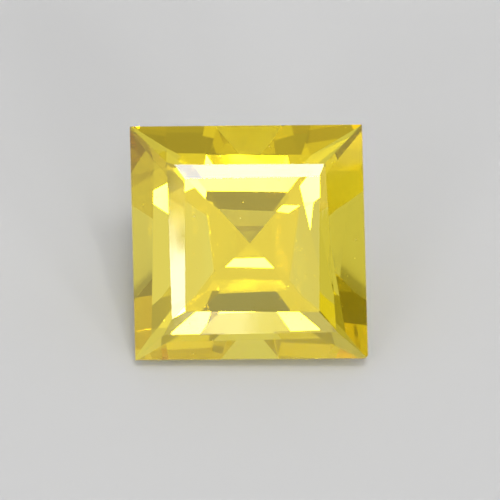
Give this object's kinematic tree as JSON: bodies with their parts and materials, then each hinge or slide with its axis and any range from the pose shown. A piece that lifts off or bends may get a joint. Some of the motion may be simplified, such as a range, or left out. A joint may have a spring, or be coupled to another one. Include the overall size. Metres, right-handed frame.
{
  "type": "yellow sapphire",
  "caption": "Loose square step-cut yellow sapphire, a clear faceted crystal lying on a pavilion facet with its table turned up.",
  "frame": {"origin": "middle of the box's underside, on the surface that the stone lies on", "axes": "-Z leaves the pavilion facet that the stone lies on; +X points to its right girdle side, level and along its longest extent; the table faces up and towards -Y"},
  "size_m": [0.005, 0.0042, 0.0042],
  "materials": {
    "sapphire": "polished facets, see-through yellow crystal"
  },
  "bodies": {
    "root": {"sapphire": "sapphire"}
  },
  "joints": []
}
